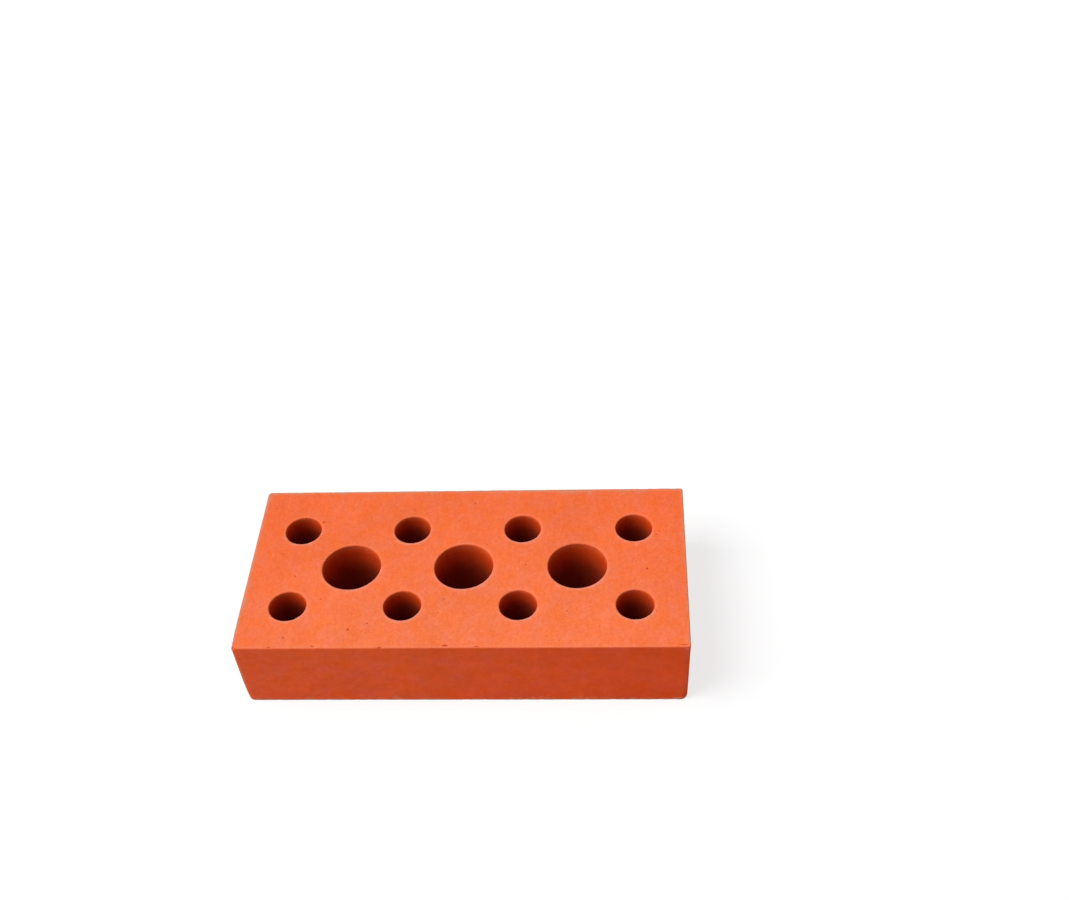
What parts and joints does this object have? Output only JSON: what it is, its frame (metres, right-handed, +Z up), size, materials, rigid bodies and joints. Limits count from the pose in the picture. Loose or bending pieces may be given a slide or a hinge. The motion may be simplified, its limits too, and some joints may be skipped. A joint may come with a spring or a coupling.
{
  "type": "perforated clay brick",
  "caption": "Extruded fired clay brick with eased arrises, rounded upright corners and three rows of round through cores, the middle row larger.",
  "frame": {"origin": "centre of the lower bed face, on the surface the brick lies on", "axes": "+X along the brick's length, +Y across its width from the front stretcher face to the back one, +Z up through the cores"},
  "size_m": [0.24, 0.115, 0.045],
  "materials": {
    "fired_clay": "unglazed matt orange-red fired clay, fine wire-cut beds and die-smooth sides"
  },
  "bodies": {
    "root": {"brick": "fired_clay"}
  },
  "joints": []
}
